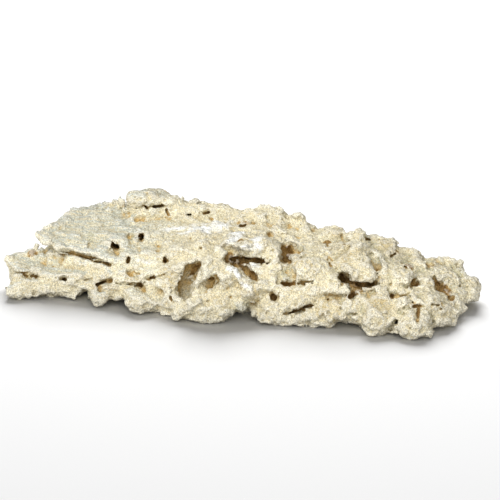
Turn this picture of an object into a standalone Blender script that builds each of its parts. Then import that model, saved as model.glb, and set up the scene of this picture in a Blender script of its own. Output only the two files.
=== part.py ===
"""Dry reef rock: one flat, ledged slab of porous reef limestone, lying on its underside.

The rock is drawn on a sketch of its front, seen from a little above. A place on the sketch is
(across, up): across runs from 3 at the left tip to 483 at the right end, and up from 7 at the
lowest foot to 163 at the summit. back is how far a place lies behind the front foot, level with
the ground, and height is how far it lies above the ground. All four are in sketch units.
"""

import math
import random

import bmesh
import bpy
from mathutils import Matrix, Vector, noise
from mathutils.bvhtree import BVHTree

# Driving dimensions, in metres and degrees.
LENGTH = 0.400
SKETCH_TILT = math.radians(24)
SKETCH_YAW = math.radians(14)
EYE_DISTANCE = 1600
UNIT = LENGTH / 487

# The sketch's reference, the middle of the front foot, and the middle of the rock's own box,
# level with the ground, all in sketch units.
MIDDLE_ACROSS = 243
GROUND_UP = 28
CENTRE = Vector((-0.5, 62.0, 0.0))

# Mesh resolution and finish, in sketch units.
VOXEL = 2.2
FINE_VOXEL = 1.6
FINAL_TRIANGLES = 8700
ROCK_COLOUR = (0.73, 0.66, 0.51, 1.0)

# Cross-sections of the slab from left to right, each a ring of (back, height): front foot, belly,
# brow, top front, top middle, ridge, back edge, back foot and the hollow of the underside.
SECTIONS = [
    (52, [(92, 12), (88, 26), (90, 42), (96, 54), (104, 59), (110, 60), (114, 50), (110, 18), (100, 10)]),
    (72, [(84, 10), (84, 26), (90, 42), (96, 56), (108, 61), (120, 64), (126, 56), (118, 18), (100, 10)]),
    (92, [(60, 8), (58, 18), (66, 33), (82, 49), (106, 60), (134, 68), (142, 60), (130, 15), (88, 8)]),
    (110, [(40, 6), (38, 16), (44, 30), (62, 46), (104, 60), (148, 70), (156, 62), (140, 12), (85, 6)]),
    (130, [(30, 4), (28, 15), (38, 28), (58, 46), (98, 59), (148, 68), (160, 62), (142, 10), (80, 6)]),
    (150, [(22, 4), (22, 15), (34, 32), (56, 47), (94, 58), (142, 66), (164, 62), (145, 10), (80, 6)]),
    (175, [(8, 4), (8, 20), (26, 44), (52, 54), (92, 60), (146, 67), (162, 60), (142, 10), (76, 6)]),
    (200, [(6, 4), (5, 22), (18, 52), (48, 58), (92, 61), (150, 68), (164, 58), (144, 10), (72, 6)]),
    (222, [(4, 4), (6, 22), (22, 52), (50, 60), (92, 62), (140, 66), (158, 56), (140, 10), (72, 6)]),
    (245, [(20, 6), (12, 26), (24, 46), (52, 59), (92, 63), (136, 68), (154, 56), (134, 10), (72, 6)]),
    (275, [(0, 5), (0, 22), (14, 46), (46, 58), (86, 60), (132, 67), (150, 54), (126, 10), (62, 6)]),
    (300, [(-6, 4), (-4, 20), (6, 44), (36, 56), (82, 57), (126, 60), (142, 50), (118, 10), (55, 6)]),
    (320, [(-8, 4), (-8, 20), (4, 44), (34, 56), (76, 57), (112, 56), (130, 48), (108, 10), (50, 6)]),
    (345, [(-10, 4), (-10, 22), (0, 42), (34, 55), (70, 58), (104, 56), (120, 45), (98, 10), (45, 6)]),
    (366, [(-20, 4), (-20, 18), (-8, 38), (28, 52), (64, 57), (96, 54), (112, 44), (92, 10), (38, 5)]),
    (388, [(-30, 4), (-31, 13), (-14, 34), (22, 46), (56, 50), (88, 50), (104, 40), (86, 10), (28, 5)]),
    (410, [(-38, 4), (-38, 14), (-20, 31), (14, 39), (46, 44), (78, 45), (96, 36), (78, 8), (20, 5)]),
    (430, [(-34, 4), (-34, 14), (-16, 28), (16, 33), (46, 37), (78, 38), (94, 30), (80, 8), (22, 5)]),
    (450, [(-10, 4), (-10, 12), (6, 21), (26, 27), (50, 30), (78, 32), (90, 24), (80, 8), (35, 5)]),
    (464, [(12, 5), (10, 10), (18, 17), (32, 21), (50, 23), (66, 24), (74, 16), (66, 6), (40, 5)]),
    (479, [(30, 6), (28, 9), (31, 13), (38, 15), (46, 17), (54, 16), (60, 13), (56, 8), (42, 6)]),
]

# Thin shelves: the rim of each as (across, up, height), with the thickness of its edge.
TOP_SHELF = (
    [
        (31, 114, 59), (38, 122, 62), (45, 128, 63), (62, 136, 65), (73, 144, 67), (87, 148, 67),
        (102, 151, 69), (119, 156, 70), (140, 156, 70), (150, 120, 60), (140, 84, 42), (112, 87, 43),
        (94, 92, 46), (75, 99, 50), (60, 103, 53), (48, 108, 57),
    ],
    8,
)
LOW_SHELF = (
    [
        (2, 91, 31), (10, 97, 33), (26, 96, 31), (31, 105, 34), (46, 103, 30), (70, 100, 30),
        (110, 90, 32), (118, 72, 26), (80, 71, 25), (50, 75, 27), (13, 77, 27), (13, 85, 29),
    ],
    27,
)

# How far the rim's under side is drawn in, as a share of the way to the middle.
SHELF_TAPER = 0.06

# Lumps set by eye, each (across, up, back) with its half sizes (across, back, height) and its roll.
FEET = [
    (99, 53, 42, 9, 10, 11, 0),
    (150, 46, 28, 24, 15, 11, -4),
    (203, 41, 11, 31, 18, 15, 0),
    (276, 36, 4, 19, 16, 12, 0),
    (318, 32, -2, 24, 15, 11, 2),
    (346, 34, -2, 16, 15, 10, 0),
    (377, 27, -24, 15, 16, 15, 0),
    (412, 26, -28, 21, 17, 14, 4),
    (431, 16, -38, 4, 5, 8, 10),
    (243, 50, 30, 16, 14, 9, 0),
    (446, 36, 2, 11, 18, 11, 20),
]
BACK_FEET = [
    (120, 82, 112, 22, 20, 12, 0),
    (215, 82, 112, 26, 20, 12, 0),
    (300, 72, 92, 24, 20, 12, 0),
    (385, 58, 62, 22, 18, 10, 0),
    (448, 54, 52, 16, 14, 8, 0),
    (45, 66, 80, 26, 18, 9, 0),
    (19, 61, 68, 12, 15, 8, 0),
]
BACK_LUMPS = [
    (60, 97, 118, 18, 16, 13, 0),
    (116, 111, 150, 24, 18, 17, 4),
    (174, 112, 154, 30, 19, 20, -5),
    (232, 104, 145, 19, 17, 16, 0),
    (284, 105, 138, 27, 19, 19, 6),
    (331, 94, 119, 16, 16, 14, 0),
    (372, 87, 106, 22, 17, 14, 0),
    (414, 74, 86, 18, 16, 11, 0),
]
BLOCKS = [
    (151, 147, 142, 20, 18, 14, -8),
    (134, 149, 140, 9, 12, 10, 0),
    (169, 147, 138, 11, 12, 10, 0),
    (192, 144, 138, 20, 12, 7, -4),
    (218, 140, 134, 16, 12, 7, -10),
    (240, 133, 126, 18, 12, 7, 0),
    (270, 134, 122, 18, 14, 9, 0),
    (299, 131, 118, 9, 8, 7, 0),
    (333, 116, 98, 14, 12, 7, 0),
    (361, 111, 82, 8, 13, 10, 0),
    (351, 111, 92, 7, 8, 7, 0),
    (388, 103, 80, 11, 12, 9, 0),
    (413, 93, 70, 11, 12, 8, 0),
    (448, 83, 74, 14, 9, 6, -25),
    (467, 60, 44, 14, 18, 10, 0),
    (456, 77, 54, 8, 10, 6, 0),
    (437, 76, 44, 18, 16, 7, 0),
    (243, 106, 58, 25, 26, 9, -6),
    (310, 82, 23, 16, 16, 10, 0),
    (361, 89, 33, 20, 27, 10, -8),
    (221, 97, 36, 6, 10, 6, 0),
    (212, 84, 24, 9, 13, 13, -20),
    (396, 76, 22, 17, 16, 7, 0),
    (206, 76, 15, 6, 15, 12, -32),
    (225, 74, 18, 10, 15, 13, 24),
    (254, 60, 14, 14, 12, 12, -25),
    (365, 72, 12, 12, 12, 5, 0),
]

# Knobs standing out of the face where (across, up) shows it, with half sizes (across, up), how far
# they stand proud and their roll.
KNOBS = [
    (195, 67, 5, 6, 6, 0),
    (142, 110, 16, 9, 3, 10),
    (174, 52, 5, 6, 5, -20),
    (220, 98, 6, 6, 5, 0),
    (204, 88, 4, 8, 5, -35),
    (82, 119, 7, 4, 2, 0),
    (70, 112, 9, 4, 2, 10),
    (150, 92, 12, 8, 4, 0),
    (180, 97, 12, 8, 4, 0),
    (205, 104, 12, 7, 3, 0),
    (130, 80, 14, 6, 4, 20),
    (105, 104, 8, 7, 3, -10),
    (122, 108, 6, 6, 3, 0),
    (325, 98, 12, 5, 5, 0),
    (342, 86, 8, 10, 5, 0),
    (373, 108, 8, 8, 6, 0),
    (358, 100, 9, 8, 5, 0),
    (391, 92, 8, 7, 5, 0),
    (402, 70, 9, 7, 6, 0),
    (420, 84, 9, 7, 6, 0),
    (425, 66, 8, 6, 5, 0),
    (452, 70, 10, 6, 5, -30),
    (466, 68, 8, 8, 5, 0),
    (430, 46, 10, 8, 4, 0),
    (405, 44, 8, 8, 4, 0),
    (380, 48, 10, 10, 4, 0),
    (352, 42, 12, 9, 5, 0),
    (325, 36, 9, 7, 5, 0),
    (290, 30, 16, 5, 4, 0),
    (320, 60, 16, 5, 5, 0),
    (238, 58, 8, 12, 5, 0),
    (258, 68, 8, 9, 5, -20),
    (30, 92, 16, 5, 3, 0),
    (66, 88, 18, 4, 2, -6),
    (42, 62, 16, 6, 3, 0),
    (280, 116, 12, 8, 4, 0),
    (305, 116, 10, 8, 4, 0),
    (190, 130, 12, 5, 4, 0),
    (222, 122, 12, 5, 3, 0),
    (262, 106, 8, 8, 4, 0),
    (275, 90, 6, 12, 4, 0),
]

# Hollows cut into the face where (across, up) shows it: half sizes (across, up), depth and roll.
CAVES = [
    (192, 77, 8, 13, 34, -24),
    (185, 62, 8, 15, 30, -8),
    (177, 68, 8, 14, 10, -14),
    (209, 67, 11, 5.5, 18, 38),
    (247, 90, 23, 4.6, 34, -5),
    (232, 99, 15, 5, 12, -34),
    (248, 78, 13, 5, 24, -38),
    (292, 101, 12, 6, 30, -4),
    (285, 93, 6, 9, 26, -20),
    (297, 67, 20, 3, 20, -4),
    (284, 76, 8, 8, 8, -10),
    (345, 72, 8, 6, 32, -20),
    (364, 66, 18, 4.4, 28, 3),
    (362, 57, 16, 6, 9, 0),
    (338, 84, 3.4, 9, 9, 30),
    (90, 92, 30, 3, 38, -15),
    (131, 65, 17, 2.6, 20, -4),
    (142, 61, 5, 4, 10, 0),
    (151, 72.5, 7, 2.6, 20, 10),
    (163, 75.5, 11, 2.2, 10, 18),
    (154, 58, 16, 7, 6, -10),
    (106, 68, 8, 3, 20, 22),
    (100, 60, 4, 5, 11, 0),
    (31, 74, 9, 3, 15, -12),
    (62.5, 71.5, 5, 2.8, 15, 0),
    (84, 70, 9, 2, 7, 6),
    (397, 56, 11, 4.4, 15, 6),
    (375, 92, 5, 13, 16, 14),
    (379, 77, 4, 4, 12, 0),
    (441, 65, 4, 9, 18, 44),
    (450, 51, 5, 3, 12, -30),
    (298, 39, 18, 2.6, 16, 20),
    (310, 43, 6, 3, 14, 10),
    (346, 28, 12, 4, 12, 6),
    (394, 25, 3.2, 9, 18, -35),
    (409, 95, 5, 3, 10, -30),
    (392, 94, 6, 3.2, 12, 30),
    (431, 85, 6, 3, 7, 0),
    (457, 79, 8, 3.6, 10, -30),
    (417, 34, 3, 8, 12, 6),
    (419, 41, 7, 2.6, 11, 10),
    (330, 53, 14, 3, 9, 6),
    (322, 38, 9, 8, 4, 0),
    (157, 144, 9, 2.6, 16, 6),
    (145, 144, 4.6, 3, 15, -35),
    (126, 145, 3, 4, 14, -20),
    (169, 137, 3, 4, 10, 0),
    (134, 78, 8, 4, 9, -30),
    (118, 99, 3.4, 6, 9, -14),
    (131, 113, 5, 4, 8, 0),
    (91, 104, 4, 4, 6, 0),
    (415, 67, 6, 4.4, 14, -10),
    (407, 81, 5, 2.6, 10, -20),
    (243, 41, 5, 4, 6, 0),
    (262, 57, 4, 6, 8, 20),
    (173, 49, 3, 5, 8, 40),
    (118, 54, 8, 3, 16, 0),
]

# Round bores left by shellfish, as (across, up, radius, depth).
BORES = [
    (142, 112, 3.2, 14),
    (115, 105, 3.2, 12),
    (128, 90, 2.4, 12),
    (165.5, 90, 2.6, 12),
    (273.5, 53, 3.2, 14),
    (352, 53.5, 3.6, 14),
    (242, 124, 3.2, 9),
    (189, 136, 2.8, 9),
    (207, 137, 3.2, 9),
    (201, 102.5, 2, 7),
    (407, 60, 2, 7),
    (270, 116, 2.8, 5),
    (349, 102, 2.8, 5),
]
BORE_SIDES = 6
# Each bore's radius at its end and at its mouth, as shares of its own.
BORE_END = 0.7
BORE_MOUTH = 1.35

# Knobs and hollows of the sides that the sketch doesn't show, at random places: how many, their
# half sizes, how flat they are as a share of that, and how they are set.
HIDDEN_SEED = 11
HIDDEN_KNOBS = 46
KNOB_SIZES = (5, 11)
KNOB_FLATNESS = (0.5, 0.9)
KNOB_SUNK = 0.6
HIDDEN_HOLLOWS = 60
HOLLOW_SIZES = (3, 10)
HOLLOW_FLATNESS = (0.35, 0.8)
HOLLOW_DEPTHS = (7, 15)
SPIN = 0.6
# The turns, in degrees, from which they are seen: -90 is from below, 0 from behind, 90 from above.
HIDDEN_TURNS = (-110, 35)
# The line through the slab, as (left end, right end, back, height), that they are seen from.
SLAB_LINE = (10, 476, 70, 30)
# They keep off the shelves, where the rock behind the place is thinner than this.
THICK_ENOUGH = 26

# The places where the skin's noise is read.
NOISE_SEED = 5

# How uneven each lump and hollow is, as a share of its size, and over how much of it.
EGG_UNEVEN = 0.35
EGG_NOISE = 1.6
# How square it is: 2 is an egg, and more is nearer to a block.
EGG_SQUARE = 2.8
# The slab's uneven skin: how far noise of each size shifts it, in sketch units.
WARPS = [(46, 2.6), (19, 2.6), (9, 1.8)]
# Its scalloped weathering, as (size, height) of the ridges, and the thickness and depth of its beds.
RIDGES = [(24, 3.0), (10, 1.8)]
RIDGE_MIDDLE = 0.9
BED = 9.0
BED_DEPTH = 1.1
BED_WAVE = 3.0
BED_WAVE_SIZE = 30


def view_axes():
    """The sketch's directions in the world: to the right, up the sketch and away from the eye."""
    turn = Matrix.Rotation(SKETCH_YAW, 3, "Z") @ Matrix.Rotation(-SKETCH_TILT, 3, "X")
    return turn @ Vector((1, 0, 0)), turn @ Vector((0, 0, 1)), turn @ Vector((0, 1, 0))


def level_place(across, back, height):
    """The world position of a place, with across as the sketch shows it."""
    depth = back * math.cos(SKETCH_TILT) - height * math.sin(SKETCH_TILT)
    spread = 1 + depth / EYE_DISTANCE
    place = Vector(((across - MIDDLE_ACROSS) * spread, back, height))
    return Matrix.Rotation(SKETCH_YAW, 3, "Z") @ (place - CENTRE) * UNIT


def seen_at_back(across, up, back):
    """The world position of a place that the sketch shows at (across, up), that far back."""
    rise = up - GROUND_UP
    cos_tilt = math.cos(SKETCH_TILT)
    sin_tilt = math.sin(SKETCH_TILT)
    top = rise * (1 + back * cos_tilt / EYE_DISTANCE) - back * sin_tilt
    height = top / (cos_tilt + rise * sin_tilt / EYE_DISTANCE)
    return level_place(across, back, height)


def seen_at_height(across, up, height):
    """The world position of a place that the sketch shows at (across, up), at that height."""
    rise = up - GROUND_UP
    cos_tilt = math.cos(SKETCH_TILT)
    sin_tilt = math.sin(SKETCH_TILT)
    top = rise - height * (cos_tilt + rise * sin_tilt / EYE_DISTANCE)
    back = top / (sin_tilt - rise * cos_tilt / EYE_DISTANCE)
    return level_place(across, back, height)


def add_object(name, mesh):
    """A new object in the scene that holds the mesh."""
    added = bpy.data.objects.new(name, mesh)
    bpy.context.scene.collection.objects.link(added)
    return added


def finished_mesh(name, shape):
    """The bmesh as a mesh, with its faces pointing out."""
    bmesh.ops.recalc_face_normals(shape, faces=shape.faces)
    mesh = bpy.data.meshes.new(name)
    shape.to_mesh(mesh)
    shape.free()
    return mesh


def evaluated_object(source, name):
    """A new object with the mesh of the old one as its modifiers leave it. The old one goes."""
    graph = bpy.context.evaluated_depsgraph_get()
    mesh = bpy.data.meshes.new_from_object(source.evaluated_get(graph))
    bpy.data.objects.remove(source, do_unlink=True)
    return add_object(name, mesh)


def one_skin(source, voxel):
    """A modifier that makes the bodies in a mesh one closed skin."""
    skin = source.modifiers.new("one_skin", "REMESH")
    skin.mode = "VOXEL"
    skin.voxel_size = voxel * UNIT


def slab_from_sections(shape):
    """Adds the slab, a loft through the cross-sections with closed ends."""
    rings = []
    for across, ring in SECTIONS:
        rings.append([shape.verts.new(level_place(across, back, height)) for back, height in ring])
    for left, right in zip(rings, rings[1:]):
        for place in range(len(left)):
            after = (place + 1) % len(left)
            shape.faces.new((left[place], left[after], right[after], right[place]))
    shape.faces.new(rings[0][::-1])
    shape.faces.new(rings[-1])


def shelf_from_rim(shape, rim, thickness):
    """Adds a shelf: its rim as a flat cap, with an under side drawn in a little."""
    tops = [seen_at_height(*place) for place in rim]
    middle = sum(tops, Vector()) / len(tops)
    down = Vector((0, 0, thickness * UNIT))
    top_ring = [shape.verts.new(place) for place in tops]
    low_ring = [shape.verts.new(place.lerp(middle, SHELF_TAPER) - down) for place in tops]
    top_middle = shape.verts.new(middle)
    low_middle = shape.verts.new(middle - down)
    for place in range(len(rim)):
        after = (place + 1) % len(rim)
        shape.faces.new((top_middle, top_ring[after], top_ring[place]))
        shape.faces.new((low_middle, low_ring[place], low_ring[after]))
        shape.faces.new((top_ring[place], top_ring[after], low_ring[after], low_ring[place]))


def egg(shape, where, half_across, half_back, half_height, turn):
    """Adds a body between an egg and a block of those half sizes, with a knobbly skin."""
    sizes = Matrix.Diagonal((half_across * UNIT, half_back * UNIT, half_height * UNIT, 1))
    made = bmesh.ops.create_icosphere(shape, subdivisions=3, radius=1)
    for vert in made["verts"]:
        reach = sum(abs(side) ** EGG_SQUARE for side in vert.co) ** (1 / EGG_SQUARE)
        vert.co *= (1 + EGG_UNEVEN * noise.noise(vert.co * EGG_NOISE + where / UNIT)) / reach
    bmesh.ops.transform(shape, matrix=Matrix.Translation(where) @ turn @ sizes, verts=made["verts"])


def set_lump(shape, across, up, back, half_across, half_back, half_height, roll):
    """Adds a lump whose place is set by eye."""
    turn = Matrix.Rotation(SKETCH_YAW, 4, "Z") @ Matrix.Rotation(math.radians(-roll), 4, "Y")
    egg(shape, seen_at_back(across, up, back), half_across, half_back, half_height, turn)


def facing_turn(roll):
    """The rotation of a body that faces the eye, rolled as the sketch shows."""
    right, up, away = view_axes()
    facing = Matrix((right, away, up)).transposed().to_4x4()
    return facing @ Matrix.Rotation(math.radians(-roll), 4, "Y")


def on_face(tree, across, up):
    """Where the line of sight through (across, up) meets the solid, and its direction."""
    eye = level_place(MIDDLE_ACROSS, 0, 0) - view_axes()[2] * EYE_DISTANCE * UNIT
    sight = (seen_at_back(across, up, 0) - eye).normalized()
    place = tree.ray_cast(eye, sight)[0]
    if place is None:
        raise ValueError(f"no face shows at ({across}, {up})")
    return place, sight


def rough_slab():
    """The slab, shelves and large lumps as one closed, warped skin."""
    shape = bmesh.new()
    slab_from_sections(shape)
    shelf_from_rim(shape, *TOP_SHELF)
    shelf_from_rim(shape, *LOW_SHELF)
    for one in FEET + BACK_FEET + BACK_LUMPS + BLOCKS:
        set_lump(shape, *one)
    solid = add_object("slab", finished_mesh("slab", shape))
    one_skin(solid, VOXEL)
    solid = evaluated_object(solid, "slab")
    for vert in solid.data.vertices:
        place = vert.co / UNIT
        for size, shift in WARPS:
            vert.co += noise.noise_vector(place / size) * shift * UNIT
    return solid


def hidden_places(solid, count, rng):
    """Random places seen from behind, below or above, each with the direction into the solid."""
    tree = BVHTree.FromObject(solid, bpy.context.evaluated_depsgraph_get())
    found = []
    while len(found) < count:
        middle = level_place(rng.uniform(*SLAB_LINE[:2]), *SLAB_LINE[2:])
        turn = math.radians(rng.uniform(*HIDDEN_TURNS))
        behind = view_axes()[2] * Vector((1, 1, 0))
        out = behind.normalized() * math.cos(turn) + Vector((0, 0, math.sin(turn)))
        place, normal = tree.ray_cast(middle + out, -out)[:2]
        if place is None:
            continue
        thickness = tree.ray_cast(place - normal * UNIT, -normal)[3]
        if thickness is not None and thickness > THICK_ENOUGH * UNIT:
            found.append((place, -normal))
    return found


def turn_to(inward, spin):
    """The rotation of a body whose depth runs inward, spun about that."""
    return inward.to_track_quat("Y", "Z").to_matrix().to_4x4() @ Matrix.Rotation(spin, 4, "Y")


def with_knobs(solid, rng):
    """The solid with its knobs grown onto it."""
    tree = BVHTree.FromObject(solid, bpy.context.evaluated_depsgraph_get())
    shape = bmesh.new()
    shape.from_mesh(solid.data)
    for across, up, half_across, half_up, proud, roll in KNOBS:
        place, sight = on_face(tree, across, up)
        half_depth = (half_across + half_up) / 2
        middle = place + sight * (half_depth - proud) * UNIT
        egg(shape, middle, half_across, half_depth, half_up, facing_turn(roll))
    for place, inward in hidden_places(solid, HIDDEN_KNOBS, rng):
        half = rng.uniform(*KNOB_SIZES)
        half_up = half * rng.uniform(*KNOB_FLATNESS)
        middle = place + inward * half * KNOB_SUNK * UNIT
        turn = turn_to(inward, rng.uniform(-SPIN, SPIN))
        egg(shape, middle, half, half, half_up, turn)
    bpy.data.objects.remove(solid, do_unlink=True)
    grown = add_object("knobbed", finished_mesh("knobbed", shape))
    one_skin(grown, VOXEL)
    return evaluated_object(grown, "knobbed")


def hollow_cutter(solid, rng):
    """The hollows as one closed body to cut away."""
    tree = BVHTree.FromObject(solid, bpy.context.evaluated_depsgraph_get())
    shape = bmesh.new()
    for across, up, half_across, half_up, depth, roll in CAVES:
        place, _ = on_face(tree, across, up)
        egg(shape, place, half_across, depth, half_up, facing_turn(roll))
    for place, inward in hidden_places(solid, HIDDEN_HOLLOWS, rng):
        half = rng.uniform(*HOLLOW_SIZES)
        half_up = half * rng.uniform(*HOLLOW_FLATNESS)
        turn = turn_to(inward, rng.uniform(-SPIN, SPIN))
        egg(shape, place, half, rng.uniform(*HOLLOW_DEPTHS), half_up, turn)
    cut = add_object("hollows", finished_mesh("hollows", shape))
    one_skin(cut, FINE_VOXEL)
    return evaluated_object(cut, "hollows")


def weather(solid):
    """Gives the skin its scalloped ridges, and its steep sides the edges of the beds."""
    moves = []
    for vert in solid.data.vertices:
        place = vert.co / UNIT
        rise = 0.0
        for size, ridge in RIDGES:
            sharp = noise.ridged_multi_fractal(place / size, 1.0, 2.1, 2, 1.0, 2.0)
            rise += ridge * (sharp - RIDGE_MIDDLE)
        bed = (place.z + BED_WAVE * noise.noise(place / BED_WAVE_SIZE)) / BED
        steep = 1 - abs(vert.normal.z)
        rise += BED_DEPTH * steep * math.cos(2 * math.pi * bed)
        moves.append(vert.normal * rise * UNIT)
    for vert, move in zip(solid.data.vertices, moves):
        vert.co += move


def carve(solid, cut):
    """Cuts one body from the other."""
    cutting = solid.modifiers.new("carve", "BOOLEAN")
    cutting.operation = "DIFFERENCE"
    cutting.solver = "EXACT"
    cutting.object = cut


def simplify(solid):
    """A modifier that brings the skin down to the final number of triangles."""
    fewer = solid.modifiers.new("fewer", "DECIMATE")
    fewer.ratio = FINAL_TRIANGLES / (2 * len(solid.data.polygons))
    fewer.use_collapse_triangulate = True


def bore_cutter(solid):
    """The shellfish bores as six-sided cones, each with a wide mouth, along the line of sight."""
    tree = BVHTree.FromObject(solid, bpy.context.evaluated_depsgraph_get())
    shape = bmesh.new()
    for across, up, radius, depth in BORES:
        place, sight = on_face(tree, across, up)
        length = 2 * depth * UNIT
        turn = turn_to(sight, across) @ Matrix.Rotation(math.radians(90), 4, "X")
        bmesh.ops.create_cone(
            shape,
            cap_ends=True,
            segments=BORE_SIDES,
            radius1=radius * BORE_END * UNIT,
            radius2=radius * BORE_MOUTH * UNIT,
            depth=length,
            matrix=Matrix.Translation(place) @ turn,
        )
    return add_object("bores", finished_mesh("bores", shape))


def level_feet(mesh):
    """Cuts the feet off flat at the ground, where the rock rests."""
    shape = bmesh.new()
    shape.from_mesh(mesh)
    everything = shape.verts[:] + shape.edges[:] + shape.faces[:]
    level = bmesh.ops.bisect_plane(
        shape, geom=everything, plane_co=(0, 0, 0), plane_no=(0, 0, 1), clear_inner=True, dist=1e-6
    )
    rim = [edge for edge in level["geom_cut"] if isinstance(edge, bmesh.types.BMEdge)]
    bmesh.ops.holes_fill(shape, edges=rim)
    bmesh.ops.triangulate(shape, faces=shape.faces)
    bmesh.ops.recalc_face_normals(shape, faces=shape.faces)
    shape.to_mesh(mesh)
    shape.free()


def keep_largest(mesh):
    """Leaves only the largest connected body of the mesh."""
    shape = bmesh.new()
    shape.from_mesh(mesh)
    unseen = set(shape.verts)
    bodies = []
    while unseen:
        body = {unseen.pop()}
        front = list(body)
        while front:
            near = {edge.other_vert(vert) for vert in front for edge in vert.link_edges} & unseen
            unseen -= near
            body |= near
            front = list(near)
        bodies.append(body)
    bodies.sort(key=len)
    for body in bodies[:-1]:
        bmesh.ops.delete(shape, geom=list(body), context="VERTS")
    shape.to_mesh(mesh)
    shape.free()


def centre(mesh):
    """Puts the middle of the rock's box over the origin."""
    shift = Vector((0, 0, 0))
    for axis in (0, 1):
        places = [vert.co[axis] for vert in mesh.vertices]
        shift[axis] = -(min(places) + max(places)) / 2
    mesh.transform(Matrix.Translation(shift))


def stone():
    """The dry, chalky, cream limestone."""
    material = bpy.data.materials.new("dry_reef_limestone")
    material.use_nodes = True
    surface = material.node_tree.nodes["Principled BSDF"]
    surface.inputs["Base Color"].default_value = ROCK_COLOUR
    surface.inputs["Roughness"].default_value = 0.95
    surface.inputs["Metallic"].default_value = 0.0
    return material


def main():
    """Builds the rock."""
    for old in list(bpy.data.objects):
        bpy.data.objects.remove(old, do_unlink=True)
    noise.seed_set(NOISE_SEED)
    rng = random.Random(HIDDEN_SEED)
    solid = with_knobs(rough_slab(), rng)
    weather(solid)
    one_skin(solid, FINE_VOXEL)
    solid = evaluated_object(solid, "weathered")
    cut = hollow_cutter(solid, rng)
    carve(solid, cut)
    one_skin(solid, FINE_VOXEL)
    solid = evaluated_object(solid, "skin")
    bpy.data.objects.remove(cut, do_unlink=True)
    keep_largest(solid.data)
    simplify(solid)
    solid = evaluated_object(solid, "plain")
    cut = bore_cutter(solid)
    carve(solid, cut)
    rock = evaluated_object(solid, "reef_rock")
    bpy.data.objects.remove(cut, do_unlink=True)
    level_feet(rock.data)
    keep_largest(rock.data)
    centre(rock.data)
    rock.data.materials.append(stone())


main()
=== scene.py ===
"""Dry reef rock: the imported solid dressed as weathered, porous reef limestone on a pale floor.

The rock's skin is a level set. The solid's distance field is sampled on a grid, roughened with
noise, carved with the knobs and holes of the front, bored at the back and pitted, then meshed.

Places are given as on the photograph's frame of 500 by 500 pixels: across is measured from its
left side, and up from 350 pixels below its top.
"""

import math

import bpy
import numpy as np
from mathutils import Matrix, Vector
from mathutils.bvhtree import BVHTree


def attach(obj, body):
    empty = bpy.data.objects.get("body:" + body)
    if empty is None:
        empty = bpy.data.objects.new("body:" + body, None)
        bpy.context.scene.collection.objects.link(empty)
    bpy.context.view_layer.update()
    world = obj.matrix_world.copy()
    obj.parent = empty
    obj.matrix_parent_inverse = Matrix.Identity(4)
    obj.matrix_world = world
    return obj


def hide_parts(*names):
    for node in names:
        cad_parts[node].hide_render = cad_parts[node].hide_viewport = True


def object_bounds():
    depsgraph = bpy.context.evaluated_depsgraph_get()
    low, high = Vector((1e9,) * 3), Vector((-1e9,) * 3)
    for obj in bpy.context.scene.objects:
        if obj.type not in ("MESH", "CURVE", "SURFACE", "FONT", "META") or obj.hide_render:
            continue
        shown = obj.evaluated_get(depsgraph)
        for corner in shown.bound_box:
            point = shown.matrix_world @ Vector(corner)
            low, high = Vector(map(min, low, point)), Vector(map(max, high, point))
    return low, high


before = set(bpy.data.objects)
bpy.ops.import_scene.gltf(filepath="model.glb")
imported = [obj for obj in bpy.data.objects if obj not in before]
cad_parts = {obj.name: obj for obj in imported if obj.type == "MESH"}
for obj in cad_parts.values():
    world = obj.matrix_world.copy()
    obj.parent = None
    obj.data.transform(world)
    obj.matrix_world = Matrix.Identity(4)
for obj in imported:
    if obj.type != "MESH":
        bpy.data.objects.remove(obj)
cad_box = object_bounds()

# The photograph's view of the rock: its frame's side in pixels, how far the eye is tilted down and
# turned, its distance from the rock's front foot in those pixels, that foot's place on the frame,
# and how far up the frame's top lies.
FRAME_PIXELS = 500
EYE_TILT = math.radians(24)
EYE_TURN = math.radians(14)
EYE_PIXELS = 1600
FOOT_ACROSS = 243
FOOT_UP = 28
FRAME_TOP_UP = 350
# One pixel of the frame at that foot, in metres. The foot's place from the middle of the rock as
# the eye is turned, in pixels, and that middle's place in the part's frame, in metres.
PIXEL = 0.400 / 487
FOOT_FROM_MIDDLE = Vector((0.5, -62.0, 0.0))
ROCK_SHIFT = Vector((0.0038026, -0.0113733, 0.0))

# The skin's grid, in metres: its step, the room around the rock, and how far from the solid its
# distance is taken. Rays that find the solid start a little below the grid and, at each crossing,
# go on a little behind it.
STEP = 0.00075
MARGIN = 0.004
BAND = 0.007
RAY_BELOW = 0.001
RAY_BEHIND = 1e-6
# How many blurs take the solid's facets out of the coarse grid.
FACET_BLURS = 3
# The skin's final number of triangles. Points that face away from the eye at least so far are
# hidden, and those and the others are thinned with these weights.
FINAL_TRIANGLES = 196000
HIDDEN_FROM = 0.2
THINNING = (1.0, 0.45)
# How far the skin stays inside the solid's box, in metres.
BOX_GAP = 0.00002
SEED = 7
# The size of the spline noise before it is brought to about 1.
NOISE_SIZE = 0.19


def view_axes():
    """The frame's directions in the world: to the right, up and away from the eye."""
    turn = Matrix.Rotation(EYE_TURN, 3, "Z") @ Matrix.Rotation(-EYE_TILT, 3, "X")
    return turn @ Vector((1, 0, 0)), turn @ Vector((0, 0, 1)), turn @ Vector((0, 1, 0))


RIGHT, UP, AWAY = view_axes()
FOOT = Matrix.Rotation(EYE_TURN, 3, "Z") @ FOOT_FROM_MIDDLE * PIXEL + ROCK_SHIFT
EYE = FOOT - AWAY * EYE_PIXELS * PIXEL


def sight_to(across, up):
    """The direction from the eye to a place on the frame."""
    along = AWAY * EYE_PIXELS + RIGHT * (across - FOOT_ACROSS) + UP * (up - FOOT_UP)
    return along.normalized()


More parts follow.
